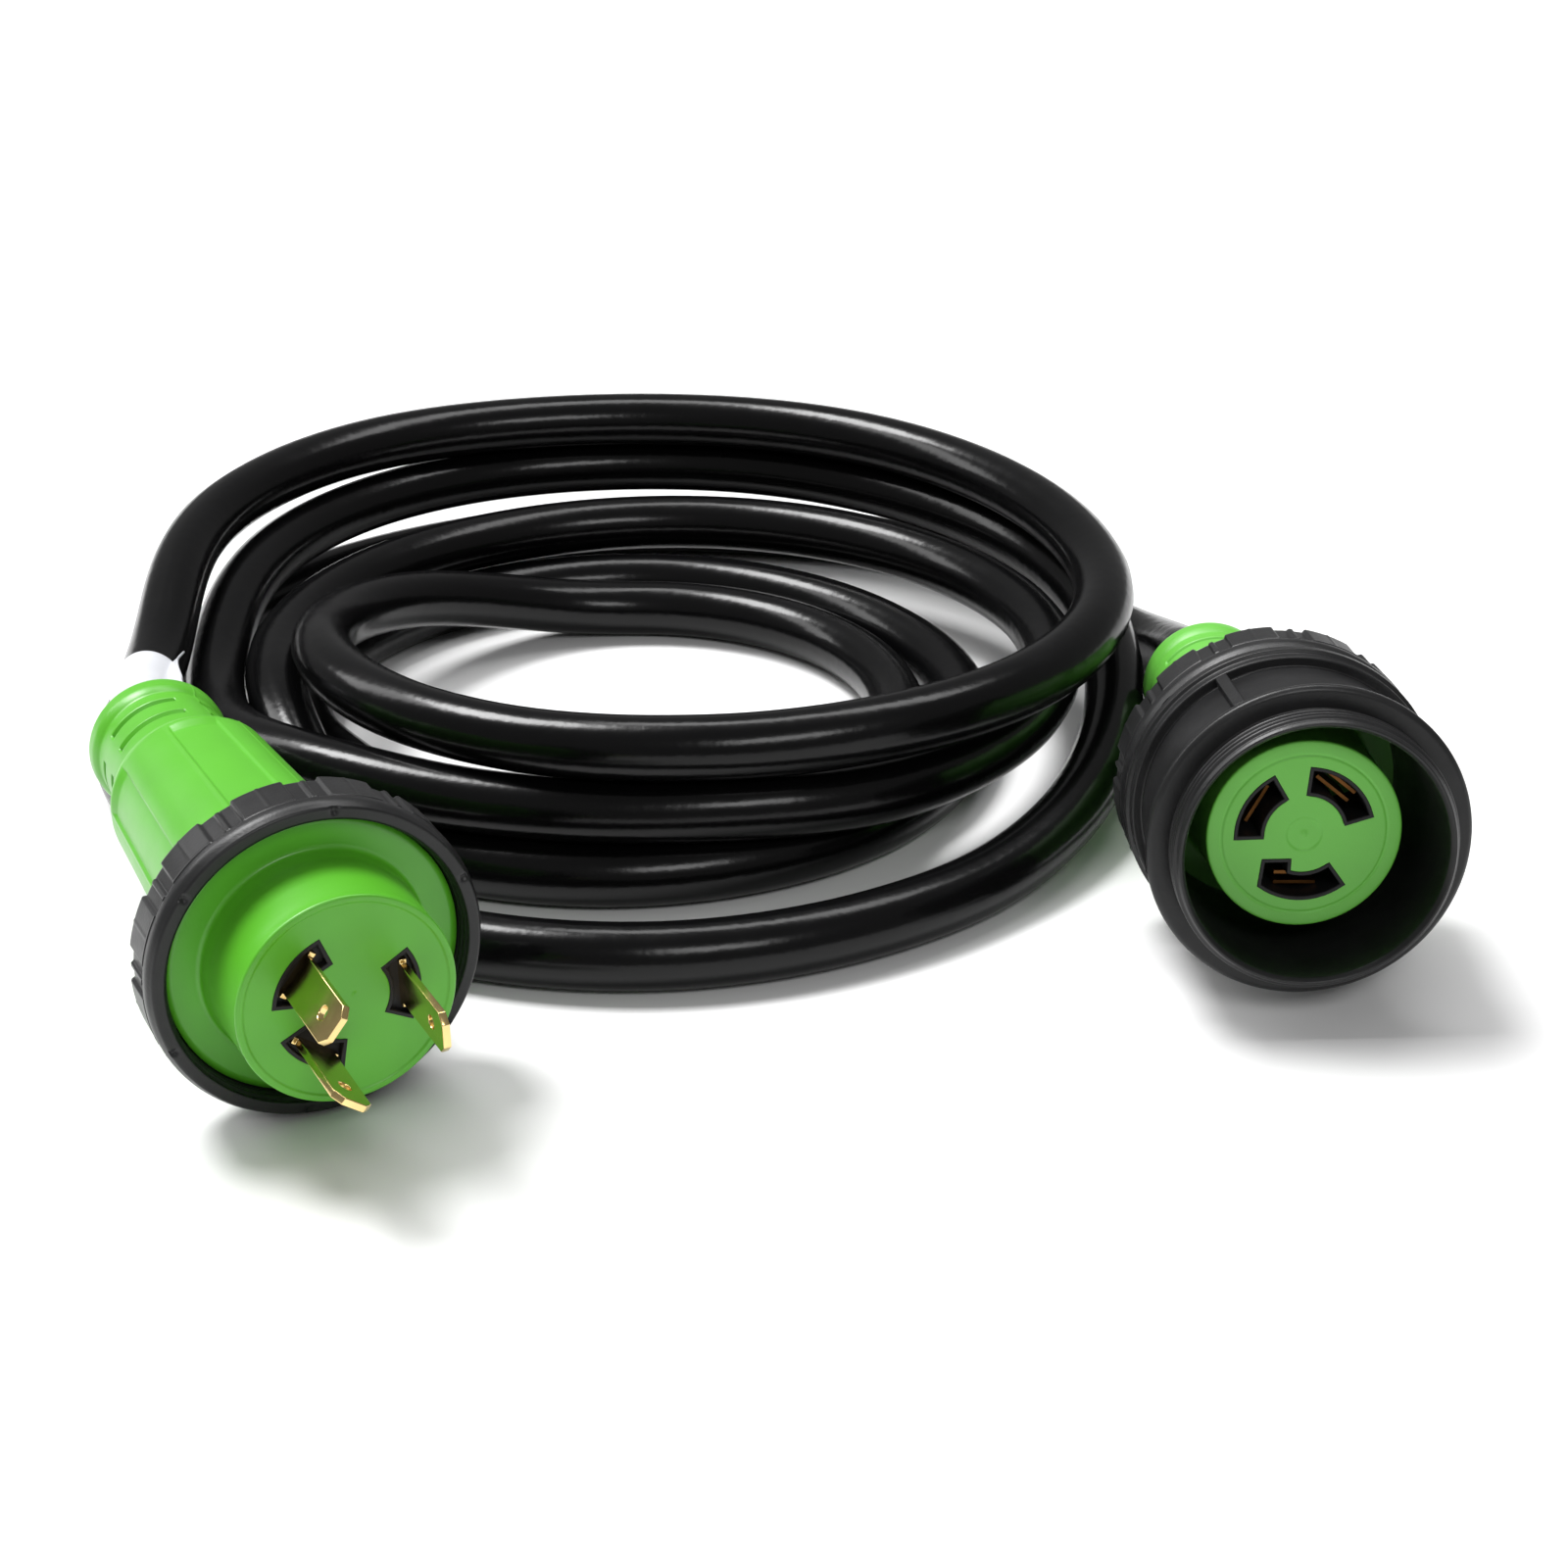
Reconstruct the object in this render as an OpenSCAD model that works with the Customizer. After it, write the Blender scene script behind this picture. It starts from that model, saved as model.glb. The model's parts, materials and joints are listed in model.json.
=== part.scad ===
// 30 A shore power cord: a twist-lock plug and a twist-lock connector on one heavy
// three-core cable. Each moulded end carries a threaded locking ring, and the
// connector also carries a screwed-on coupling sleeve.
// Each end is drawn along its own Z axis, with the front plane of its ring at Z 0
// and its face towards +Z, and is then laid on the floor, which is Z 0 of the part.

/* [Cable] */
// Outside diameter of the cable jacket
cable_d = 17; // [14:0.5:18.5]
// Outside diameter of one insulated core
core_d = 4.6; // [3.6:0.1:5]
// Width of the wrapped label, along the cable
label_len = 40; // [20:1:44]
// Thickness of the wrapped label
label_t = 0.5; // [0.3:0.1:1]

/* [Locking ring] */
// Outside diameter of the ring, over its grip pads
ring_d = 76; // [70:1:90]
// Length of the ring along its axis
ring_len = 16; // [14:1:20]
// Thickness of the ring's rear wall
ring_wall = 3.2; // [2.5:0.1:4]
// Clear diameter inside the crests of the thread
thread_d = 66.6; // [64:0.2:67]
// Pitch of the thread
thread_pitch = 2; // [1.8:0.1:3]
// Depth of the thread
thread_depth = 0.8; // [0.5:0.1:1.1]
// Number of raised grip pads round the ring
ring_pads = 12; // [8:1:16]
// How far the pads stand out
pad_h = 0.9; // [0.5:0.1:1.2]

/* [Moulded bodies] */
// Thickness of the flange
flange_t = 4.5; // [3:0.1:5]
// Diameter of the hub that the ring turns on
hub_d = 54; // [48:0.5:56]
// Grip diameter next to the ring
grip_front_d = 50; // [46:0.5:54]
// Grip diameter at its rear shoulder
grip_rear_d = 43; // [40:0.5:46]
// Diameter of the strain relief
neck_d = 33; // [30:0.5:36]
// Diameter of the bead round the cable entry
lip_d = 35.4; // [34:0.2:40]
// Length of the strain relief, its bead included
neck_len = 34; // [28:1:40]
// Number of flats round the grip
grip_flats = 10; // [8:2:14]

/* [Plug] */
// Distance from the ring's front plane back to the cable entry
plug_rear = 131; // [110:1:150]
// Distance from the ring's front plane forward to the face
plug_reach = 17.5; // [14:0.5:24]
// Diameter of the boss that carries the blades
boss_d = 49; // [46:0.5:52]
// Distance from the ring's front plane back to the flange
plug_flange_back = 4.5; // [3:0.1:6]
// Length of the blades in front of the face
blade_len = 24; // [18:0.5:28]
// Width of a blade
blade_w = 9.5; // [7:0.1:10]
// Thickness of a blade
blade_t = 1.7; // [1.4:0.1:2]
// Diameter of the hole near the tip of each blade
blade_hole_d = 3.2; // [2.4:0.1:4]

/* [Contacts] */
// Diameter of the circle on which blades and contacts lie
pole_circle_d = 26; // [24.8:0.2:27]
// Radial width of each pocket and slot
slot_w = 5.2; // [4.6:0.1:5.6]
// Width of the dark lip round each pocket and slot
slot_lip = 1; // [0.8:0.1:1.2]
// Depth of the pocket round each blade
pocket_depth = 2; // [1.5:0.1:3]

/* [Connector] */
// Distance from the ring's front plane back to the cable entry
connector_rear = 92; // [84:1:130]
// Distance from the ring's front plane forward to the face
connector_reach = 29; // [24:0.5:34]
// Diameter of the connector's face
face_d = 46; // [44:0.5:50]

/* [Coupling sleeve] */
// Diameter of the two flanges
sleeve_flange_d = 76; // [72:0.5:84]
// Diameter of the belt between the flanges
sleeve_belt_d = 69; // [68:0.5:71.5]
// Thickness of the sleeve's wall under its threads
sleeve_wall = 1.9; // [1.5:0.1:3]
// Distance from the ring to the back of the rear flange
sleeve_gap = 2; // [1:0.5:3]
// Length from the back of the rear flange to the front of the front flange
sleeve_body_len = 33; // [30:0.5:38]
// Length of the threaded nose
sleeve_nose_len = 8.4; // [7:0.1:12]
// Number of ribs across the belt
sleeve_ribs = 4; // [3:1:6]

/* [Layout] */
// Plug position on the floor, at its ring's front plane
plug_at = [-88, -64.5];
// Direction of the plug's face, turned to the right from the front
plug_yaw = 28; // [20:1:35]
// Upward tilt of the plug's face
plug_tilt = 1.5; // [1:0.5:3]
// Turn of the blades about the plug's axis
plug_clock = 0; // [-180:1:180]
// Connector position on the floor, at its ring's front plane
connector_at = [133, 13.5];
// Direction of the connector's face, turned to the right from the front
connector_yaw = 2; // [0:1:6]
// Upward tilt of the connector's face
connector_tilt = 8; // [5:0.5:10]
// Centre of the coil on the floor
coil_at = [-30, 126.5];
// Inside radius of the coiled turns
coil_inner_r = 62; // [50:1:70]
// Outside radius of the coiled turns
coil_outer_r = 119; // [110:1:121]
// Height of the coiled turns
coil_h = 34; // [17:1:34]

/* [Hidden] */
$fn = 96;

// Small sizes
eps = 0.01;
fit = 0.1;
gap = 0.3;
edge = 1.2;
tube_sides = 12;

// Thread crests inside the ring, and the outside of what screws into it
crest_r = thread_d / 2;
sleeve_crest_r = crest_r - fit;
sleeve_root_r = sleeve_crest_r - thread_depth;

// Ring
ring_r = ring_d / 2;
ring_root_r = crest_r + thread_depth;
ring_bore_r = hub_d / 2 + gap;
hub_flange_r = crest_r - gap;
ring_teeth = floor((ring_len - ring_wall - 2) / thread_pitch);
pad_share = 0.62;
rim_chamfer = 2.4;
pad_chamfer = 1.4;

// Heights of the flanges along each end's axis
connector_flange_z = -(ring_len - ring_wall - gap);
plug_flange_z = -plug_flange_back - flange_t;

// Where the inserts that hold the blades and contacts begin, inside the flanges
carrier_inset = 2;
plug_carrier_z = plug_flange_z + carrier_inset;
connector_carrier_z = connector_flange_z + carrier_inset;

// Flex slots in the strain relief: first row, distance between rows, width and spread
slot_first = 12.3;
slot_pitch = 9;
slot_width = 1.4;
slot_spread = 66;

// The label: its distance from the plug, and the bend of the cable under it
label_gap = 1;
label_end = label_gap + label_len;
bend_r = 90;
bend_steps = 6;

// Core ends: where the jacket is stripped, and where the cores meet the crimps
strip_len = 30;
crimp_len = 9;
crimp_d = core_d + 1.2;
core_pack_r = (core_d + gap) / sqrt(2);
pole_r = pole_circle_d / 2;
carrier_r = pole_r + slot_w / 2 + slot_lip + 1.9;
face_skin = 2.2;
face_mark = 0.3;

// Poles as seen when looking at the face: [angle, half the pocket's spread]
plug_line = [140, 30];
plug_ground = [0, 29];
plug_neutral = [232, 27];
socket_line = [51, 34];
socket_neutral = [151, 30];
socket_ground = [269, 37];
plug_poles = [plug_line, plug_neutral, plug_ground];
socket_poles = [socket_line, socket_neutral, socket_ground];
hook_left = -8.8;
hook_right = -3.6;
hook_top = -7;

// Contacts
contact_w = 10;
contact_leaf = 0.8;
contact_len = 15;

// Sleeve heights
sleeve_back_z = connector_flange_z + flange_t + gap;
rear_flange_z = sleeve_gap;
rear_flange_t = 6;
front_flange_t = 4.5;
front_flange_z = rear_flange_z + sleeve_body_len - front_flange_t;
nose_z = rear_flange_z + sleeve_body_len + sleeve_nose_len;

// Height of each ring's front plane above the floor, which its rear edge rests on
ring_foot = ring_len - pad_chamfer;
plug_h = ring_r * cos(plug_tilt) + ring_foot * sin(plug_tilt);
connector_h = ring_r * cos(connector_tilt) + ring_foot * sin(connector_tilt);

// Direction that each face looks in
function facing(yaw, tilt) = [sin(yaw) * cos(tilt), -cos(yaw) * cos(tilt), sin(tilt)];
plug_dir = facing(plug_yaw, plug_tilt);
connector_dir = facing(connector_yaw, connector_tilt);
function on_plug(z) = [plug_at[0], plug_at[1], plug_h] + z * plug_dir;
function on_connector(z) = [connector_at[0], connector_at[1], connector_h] + z * connector_dir;

// The cable bends to the plug's right where it leaves: angle and place at s mm along it
plug_right = [cos(plug_yaw), sin(plug_yaw), 0];
function bend_angle(s) = s / bend_r * 180 / PI;
function on_bend(s) =
  on_plug(-plug_rear - bend_r * sin(bend_angle(s))) + bend_r * (1 - cos(bend_angle(s))) * plug_right;

// Route of the cable from the plug over the coil and down into its top
plug_route = [
  [-159.5, 102, 35],
  [-161, 116, 38.5],
  [-162.5, 133, 42.5],
  [-163, 160, 46],
  [-157.5, 190, 48],
  [-145, 215, 49],
  [-124, 238, 50],
  [-98, 253.5, 50],
  [-68, 262.5, 50],
  [-31, 266, 50],
  [5, 261, 50],
  [38.5, 247, 50],
  [66.5, 224, 49.5],
  [87.5, 195, 49],
  [100, 161.5, 48],
  [103, 126.5, 47.5],
  [94.5, 95, 47],
  [76, 67.5, 46.5],
  [50, 48, 46],
  [21, 37.5, 45],
  [-6, 34, 44],
  [-31, 35.5, 43.5],
  [-54, 40.5, 43],
  [-75, 50.5, 43],
  [-93, 64.5, 42.5],
  [-106.5, 83, 41.5],
  [-115, 104, 40],
  [-117, 126.5, 36]
];

// Route of the cable from the connector round the outside of the coil, under the plug's
// strain relief and once more round on the next layer
connector_route = [
  [129, 121.5, 24.5],
  [127, 141.5, 21],
  [120, 169.5, 14],
  [105, 199.5, 9],
  [81, 229.5, 8.5],
  [47, 253.5, 8.5],
  [6, 265, 8.5],
  [-31, 268.5, 8.5],
  [-68, 263.5, 8.5],
  [-102, 249.5, 8.5],
  [-132, 227.5, 8.5],
  [-155, 198, 8.5],
  [-169, 163.5, 8.5],
  [-174, 126.5, 8.5],
  [-169.5, 89.5, 8.5],
  [-151, 58, 8.5],
  [-124, 31, 8.5],
  [-95, 8, 8.5],
  [-65, -5.5, 8.5],
  [-31, -12, 8.5],
  [5, -8, 8.5],
  [38.5, 6, 9],
  [67.5, 28, 11.5],
  [88, 54, 15],
  [100.5, 84, 20],
  [106.5, 122, 25],
  [104, 160, 28],
  [91, 197, 30.5],
  [68.5, 226, 32],
  [40, 249, 32.5],
  [6, 264, 33],
  [-31, 269, 33],
  [-68, 264.5, 33],
  [-101.5, 250, 33],
  [-126, 227.5, 33],
  [-142, 200, 32.5],
  [-149.5, 170, 31.5],
  [-150.5, 145, 29]
];

// A ring sector in plan, from radius a to radius b, half as wide each way as spread
module sector(a, b, spread) {
  reach = 2 * b;
  intersection() {
    difference() {
      circle(r = b);
      circle(r = a);
    }
    polygon([
      [0, 0],
      [reach * cos(spread), -reach * sin(spread)],
      [reach, 0],
      [reach * cos(spread), reach * sin(spread)]
    ]);
  }
}

// The outline of one pocket or slot, grown by lip on every side
module pocket(pole, lip) {
  grown = asin(lip / pole_r);
  rotate(pole[0])
    sector(pole_r - slot_w / 2 - lip, pole_r + slot_w / 2 + lip, pole[1] + grown);
}

// The inward hook of the ground slot, grown by lip on every side
module hook(lip) {
  translate([hook_left - lip, -pole_r])
    square([hook_right - hook_left + 2 * lip, pole_r + hook_top + lip]);
}

// One insulated core, from the stripped jacket at strip_z out to its crimp at crimp_z
module core(angle, strip_z, crimp_z, d) {
  rise = crimp_z - strip_z;
  spread = pole_r - core_pack_r;
  lean = atan2(spread, rise);
  intersection() {
    rotate(angle)
      translate([core_pack_r, 0, strip_z])
        rotate([0, lean, 0])
          translate([0, 0, -d])
            cylinder(d = d, h = norm([rise, spread]) + 2 * d, $fn = 32);
    translate([-grip_front_d / 2, -grip_front_d / 2, strip_z])
      cube([grip_front_d, grip_front_d, rise]);
  }
}

// The barrel that joins a core to its blade or contact
module crimp(angle, top_z, d, len = crimp_len) {
  rotate(angle)
    translate([pole_r, 0, top_z - len])
      cylinder(d = d, h = len, $fn = 32);
}

// Everything inside a moulded body that the plastic flows round
module inner_space(poles, rear, carrier_z, carrier_top) {
  translate([0, 0, -rear - eps]) cylinder(d = cable_d + 2 * fit, h = strip_len + eps);
  for (pole = poles) {
    core(pole[0], -rear + strip_len - eps, carrier_z - crimp_len + eps, core_d + 2 * fit);
    crimp(pole[0], carrier_z + eps, crimp_d + 2 * fit, crimp_len + fit);
  }
  translate([0, 0, carrier_z]) cylinder(r = carrier_r + fit, h = carrier_top - carrier_z);
}

// The profile of a body behind its ring, from the cable entry to the flange's front
module body_profile(rear, flange_z) {
  grip_z = -rear + neck_len;
  polygon([
    [0, -rear],
    [lip_d / 2 - edge, -rear],
    [lip_d / 2, -rear + edge],
    [lip_d / 2, -rear + 5],
    [lip_d / 2 - 0.6, -rear + 6.4],
    [neck_d / 2, -rear + 7],
    [neck_d / 2 + 1, grip_z - 5],
    [neck_d / 2 + 2.2, grip_z - 2],
    [grip_rear_d / 2 - 1.4, grip_z],
    [grip_rear_d / 2, grip_z + 3],
    [grip_front_d / 2, -ring_len - gap - edge],
    [grip_front_d / 2 + edge, -ring_len - gap],
    [hub_d / 2, -ring_len - gap],
    [hub_d / 2, flange_z],
    [hub_flange_r, flange_z],
    [hub_flange_r, flange_z + flange_t - 0.5],
    [hub_flange_r - 0.5, flange_z + flange_t],
    [0, flange_z + flange_t]
  ]);
}

// Shallow flats along the grip
module grip_recesses(rear) {
  grip_z = -rear + neck_len;
  flat_len = rear - neck_len - ring_len - 6;
  for (i = [0:2:grip_flats - 1])
    rotate(i * 360 / grip_flats)
      rotate_extrude(angle = 360 / grip_flats * 0.9)
        polygon([
          [grip_rear_d / 2 - 0.7, grip_z + 5],
          [grip_front_d / 2 + 4, grip_z + 5],
          [grip_front_d / 2 + 4, grip_z + 5 + flat_len - 4],
          [grip_front_d / 2 - 0.9, grip_z + 5 + flat_len - 4]
        ]);
}

// Short arc slots that let the strain relief flex
module relief_slots(rear) {
  for (row = [0:2], side = [0:3])
    translate([0, 0, -rear + slot_first + slot_pitch * row])
      rotate(side * 90 - 11)
        rotate_extrude(angle = slot_spread)
          translate([neck_d / 2 - 1.4, 0]) square([5, slot_width]);
}

// The profile of the round boss in front of a flange, up to the face
module boss_profile(base_z, reach, front_d) {
  polygon([
    [0, base_z],
    [front_d / 2 + 0.2, base_z],
    [front_d / 2, base_z + 1.5],
    [front_d / 2, reach - 0.8],
    [front_d / 2 - 0.8, reach],
    [0, reach]
  ]);
}

// Strain relief, grip and flange, moulded round the cable's end
module plug_body() {
  color("limegreen")
    place_plug()
      difference() {
        rotate_extrude() body_profile(plug_rear, plug_flange_z);
        inner_space(plug_poles, plug_rear, plug_carrier_z, plug_reach - face_skin);
        grip_recesses(plug_rear);
        relief_slots(plug_rear);
      }
}

// The boss that stands on the flange and carries the face
module plug_boss() {
  color("limegreen")
    place_plug()
      difference() {
        rotate_extrude() boss_profile(plug_flange_z + flange_t, plug_reach, boss_d);
        inner_space(plug_poles, plug_rear, plug_carrier_z, plug_reach - face_skin);
        for (pole = plug_poles)
          translate([0, 0, plug_reach - face_skin - eps])
            linear_extrude(face_skin + 1) pocket(pole, slot_lip + fit / 2);
      }
}

// The dark insert that holds the blades, with a raised lip round each
module plug_bridge() {
  back_z = plug_carrier_z;
  top_z = plug_reach - face_skin - fit;
  color("dimgray")
    place_plug()
      difference() {
        union() {
          translate([0, 0, back_z]) cylinder(r = carrier_r, h = top_z - back_z);
          for (pole = plug_poles)
            translate([0, 0, top_z - eps])
              linear_extrude(plug_reach - top_z + eps) pocket(pole, slot_lip);
        }
        for (pole = plug_poles) {
          translate([0, 0, plug_reach - pocket_depth])
            linear_extrude(pocket_depth + 1) pocket(pole, 0);
          rotate(pole[0])
            translate([pole_r - blade_t / 2 - fit / 2, -blade_w / 2 - 1.2, back_z - 1])
              cube([blade_t + fit, blade_w + 2.4, plug_reach - back_z + 2]);
        }
      }
}

// A flat brass blade with clipped corners, a hole near its tip and shoulders at its root
module blade(pole) {
  back_z = plug_carrier_z;
  tip_z = plug_reach + blade_len;
  root_z = plug_reach - 0.8;
  clip = 2;
  half = blade_w / 2;
  wide = half + 1.15;
  rotate(pole[0])
    translate([pole_r - blade_t / 2, 0, 0])
      rotate([90, 0, 90])
        linear_extrude(blade_t)
          difference() {
            polygon([
              [-wide, back_z],
              [wide, back_z],
              [wide, root_z],
              [half, root_z],
              [half, tip_z - clip],
              [half - clip, tip_z],
              [clip - half, tip_z],
              [-half, tip_z - clip],
              [-half, root_z],
              [-wide, root_z]
            ]);
            translate([0, tip_z - 7]) circle(d = blade_hole_d, $fn = 32);
          }
}

module plug_blade_line() {
  color("gold") place_plug() blade(plug_line);
}

module plug_blade_neutral() {
  color("gold") place_plug() blade(plug_neutral);
}

module plug_blade_ground() {
  color("gold") place_plug() blade(plug_ground);
}

module plug_crimps() {
  color("silver")
    place_plug()
      for (pole = plug_poles)
        crimp(pole[0], plug_carrier_z, crimp_d);
}

module plug_core(pole) {
  core(pole[0], -plug_rear + strip_len, plug_carrier_z - crimp_len, core_d);
}

module plug_core_line() {
  color("black") place_plug() plug_core(plug_line);
}

module plug_core_neutral() {
  color("white") place_plug() plug_core(plug_neutral);
}

module plug_core_ground() {
  color("green") place_plug() plug_core(plug_ground);
}

// A threaded locking ring that turns freely on its body's hub
module locking_ring() {
  low_r = ring_r - pad_h;
  inner_z = -ring_len + ring_wall;
  difference() {
    union() {
      rotate_extrude()
        polygon([
          [ring_bore_r, -ring_len],
          [low_r - edge, -ring_len],
          [low_r, -ring_len + edge],
          [low_r, -5],
          [ring_r, -4.4],
          [ring_r, -rim_chamfer],
          [ring_r - 0.8, 0],
          [ring_root_r, 0],
          [ring_root_r, inner_z],
          [ring_bore_r, inner_z]
        ]);
      for (i = [0:ring_pads - 1])
        rotate(i * 360 / ring_pads) {
          rotate_extrude(angle = 360 / ring_pads * pad_share)
            polygon([
              [low_r - 1, -ring_len + 0.6],
              [ring_r - 0.6, -ring_len + 0.6],
              [ring_r, -ring_len + pad_chamfer],
              [ring_r, -4.4],
              [low_r - 1, -4.4]
            ]);
          rotate(360 / ring_pads * (1 + pad_share) / 2 - 1)
            rotate_extrude(angle = 2)
              translate([low_r - 1, -ring_len + 2])
                square([1 + pad_h - 0.1, ring_len - 6]);
        }
      for (i = [0:ring_teeth - 1])
        translate([0, 0, -1.4 - thread_pitch * i])
          rotate_extrude()
            polygon([
              [ring_root_r + 0.5, 0.3],
              [ring_root_r, 0.3],
              [crest_r, -0.4],
              [crest_r, -0.9],
              [ring_root_r, -1.6],
              [ring_root_r + 0.5, -1.6]
            ]);
    }
    for (i = [0:5])
      rotate(i * 60 + 20)
        translate([ring_r - 1.6, 0, -0.8])
          cylinder(d = 1.4, h = 2, $fn = 24);
  }
}

module plug_ring() {
  color("dimgray") place_plug() locking_ring();
}

// Strain relief, grip, flange and face in one moulding, with the slots through its face
module connector_body() {
  flange_front = connector_flange_z + flange_t;
  color("limegreen")
    place_connector()
      difference() {
        union() {
          rotate_extrude() body_profile(connector_rear, connector_flange_z);
          rotate_extrude() boss_profile(flange_front - 1, connector_reach, face_d);
        }
        inner_space(socket_poles, connector_rear, connector_carrier_z, connector_reach - face_skin);
        grip_recesses(connector_rear);
        relief_slots(connector_rear);
        translate([0, 0, connector_reach - face_skin - eps])
          linear_extrude(face_skin + 1) {
            for (pole = socket_poles)
              pocket(pole, slot_lip + fit / 2);
            hook(slot_lip + fit / 2);
          }
        translate([0, 0, connector_reach - face_mark]) {
          difference() {
            cylinder(r = face_d / 2 - 3.2, h = 1);
            translate([0, 0, -1]) cylinder(r = face_d / 2 - 3.6, h = 3);
          }
          cylinder(r = 4.1, h = 1);
        }
      }
}

// The dark insert that holds the contacts, with a raised lip round each slot
module connector_carrier() {
  back_z = connector_carrier_z;
  top_z = connector_reach - face_skin - fit;
  floor_z = connector_reach - contact_len - pocket_depth - 4;
  color("dimgray")
    place_connector()
      difference() {
        union() {
          translate([0, 0, back_z]) cylinder(r = carrier_r, h = top_z - back_z);
          translate([0, 0, top_z - eps])
            linear_extrude(connector_reach - top_z + eps) {
              for (pole = socket_poles)
                pocket(pole, slot_lip);
              hook(slot_lip);
            }
        }
        translate([0, 0, floor_z])
          linear_extrude(connector_reach - floor_z + 1) {
            for (pole = socket_poles)
              pocket(pole, 0);
            hook(0);
          }
        for (pole = socket_poles)
          rotate(pole[0])
            translate([pole_r, 0, back_z - 1])
              cylinder(d = 3 + 2 * fit, h = floor_z - back_z + 2, $fn = 32);
      }
}

// A folded brass contact: two leaves that grip the blade, on a stem to its crimp
module contact(pole) {
  back_z = connector_carrier_z;
  floor_z = connector_reach - contact_len - pocket_depth - 4;
  inner = pole_r - blade_t / 2 - contact_leaf;
  rotate(pole[0]) {
    difference() {
      translate([inner, -contact_w / 2, floor_z])
        cube([blade_t + 2 * contact_leaf, contact_w, contact_len]);
      translate([pole_r - blade_t / 2, -contact_w / 2 - 1, floor_z + 1.2])
        cube([blade_t, contact_w + 2, contact_len]);
    }
    translate([pole_r, 0, back_z])
      cylinder(d = 3, h = floor_z - back_z + eps, $fn = 32);
  }
}

module connector_contact_line() {
  color("gold") place_connector() contact(socket_line);
}

module connector_contact_neutral() {
  color("gold") place_connector() contact(socket_neutral);
}

// The ground contact has a second leaf, which stands in the hook of its slot
module connector_contact_ground() {
  side_gap = 0.6;
  floor_z = connector_reach - contact_len - pocket_depth - 4;
  front_y = hook_top - side_gap;
  back_y = -pole_r + side_gap;
  leaf_z = contact_len + pocket_depth;
  color("gold")
    place_connector() {
      contact(socket_ground);
      translate([hook_left + side_gap, 0, floor_z + fit])
        rotate([90, 0, 90])
          linear_extrude(hook_right - hook_left - 2 * side_gap)
            polygon([
              [back_y, 0],
              [front_y, 0],
              [front_y, leaf_z],
              [front_y - contact_leaf, leaf_z],
              [front_y - contact_leaf, contact_leaf],
              [back_y, contact_leaf]
            ]);
    }
}

module connector_crimps() {
  color("silver")
    place_connector()
      for (pole = socket_poles)
        crimp(pole[0], connector_carrier_z, crimp_d);
}

module connector_core(pole) {
  core(pole[0], -connector_rear + strip_len, connector_carrier_z - crimp_len, core_d);
}

module connector_core_line() {
  color("black") place_connector() connector_core(socket_line);
}

module connector_core_neutral() {
  color("white") place_connector() connector_core(socket_neutral);
}

module connector_core_ground() {
  color("green") place_connector() connector_core(socket_ground);
}

module connector_ring() {
  color("dimgray") place_connector() locking_ring();
}

// The sleeve between the two rings: a thread at each end, two flanges and a ribbed belt
module coupling_sleeve() {
  flange_r = sleeve_flange_d / 2;
  belt_r = sleeve_belt_d / 2;
  root_r = sleeve_root_r;
  bore_r = root_r - sleeve_wall;
  belt_z = rear_flange_z + rear_flange_t;
  front_z = front_flange_z + front_flange_t;
  rear_teeth = floor((rear_flange_z - sleeve_back_z - 1) / thread_pitch);
  nose_teeth = floor((sleeve_nose_len - 1.6) / thread_pitch);
  color("black")
    place_connector()
      union() {
        rotate_extrude()
          polygon([
            [bore_r, sleeve_back_z],
            [root_r, sleeve_back_z],
            [root_r, rear_flange_z],
            [flange_r - 0.6, rear_flange_z],
            [flange_r, rear_flange_z + 0.6],
            [flange_r, belt_z - 3.4],
            [flange_r - 1, belt_z - 2.8],
            [flange_r - 1, belt_z],
            [belt_r, belt_z],
            [belt_r, front_flange_z],
            [flange_r - 1, front_flange_z],
            [flange_r - 1, front_flange_z + 1.6],
            [flange_r, front_flange_z + 2.2],
            [flange_r, front_z - 1],
            [flange_r - 1, front_z],
            [root_r, front_z],
            [root_r, nose_z - 0.8],
            [root_r - 0.6, nose_z],
            [bore_r, nose_z]
          ]);
        for (i = [0:sleeve_ribs - 1])
          rotate(i * 360 / sleeve_ribs + 118 - 5)
            rotate_extrude(angle = 5)
              translate([belt_r - 1, belt_z - eps])
                square([flange_r - belt_r, front_flange_z - belt_z + 2 * eps]);
        for (i = [0:rear_teeth - 1])
          translate([0, 0, sleeve_back_z + 1 + thread_pitch * i]) sleeve_tooth(root_r);
        for (i = [0:nose_teeth - 1])
          translate([0, 0, front_z + 1.2 + thread_pitch * i]) sleeve_tooth(root_r);
      }
}

module sleeve_tooth(root_r) {
  rotate_extrude()
    polygon([
      [root_r - 0.5, -0.5],
      [root_r, -0.5],
      [sleeve_crest_r, 0.2],
      [sleeve_crest_r, 0.7],
      [root_r, 1.4],
      [root_r - 0.5, 1.4]
    ]);
}

// Lays a module drawn along Z on the floor, as the plug or as the connector
module place_plug() {
  translate([plug_at[0], plug_at[1], plug_h])
    rotate([0, 0, plug_yaw])
      rotate([90 - plug_tilt, 0, 0])
        rotate(plug_clock)
          children();
}

module place_connector() {
  translate([connector_at[0], connector_at[1], connector_h])
    rotate([0, 0, connector_yaw])
      rotate([90 - connector_tilt, 0, 0])
        children();
}

// A label wrapped round the cable where it bends away from the plug
module cable_label() {
  color("white")
    place_plug()
      translate([bend_r, 0, -plug_rear])
        rotate([90, 0, 0])
          rotate([0, 0, 180 + bend_angle(label_gap)])
            rotate_extrude(angle = bend_angle(label_len))
              translate([bend_r, 0])
                difference() {
                  circle(d = cable_d + 2 * fit + 2 * label_t);
                  circle(d = cable_d + 2 * fit);
                }
}

function unit(v) = v / norm(v);

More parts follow.
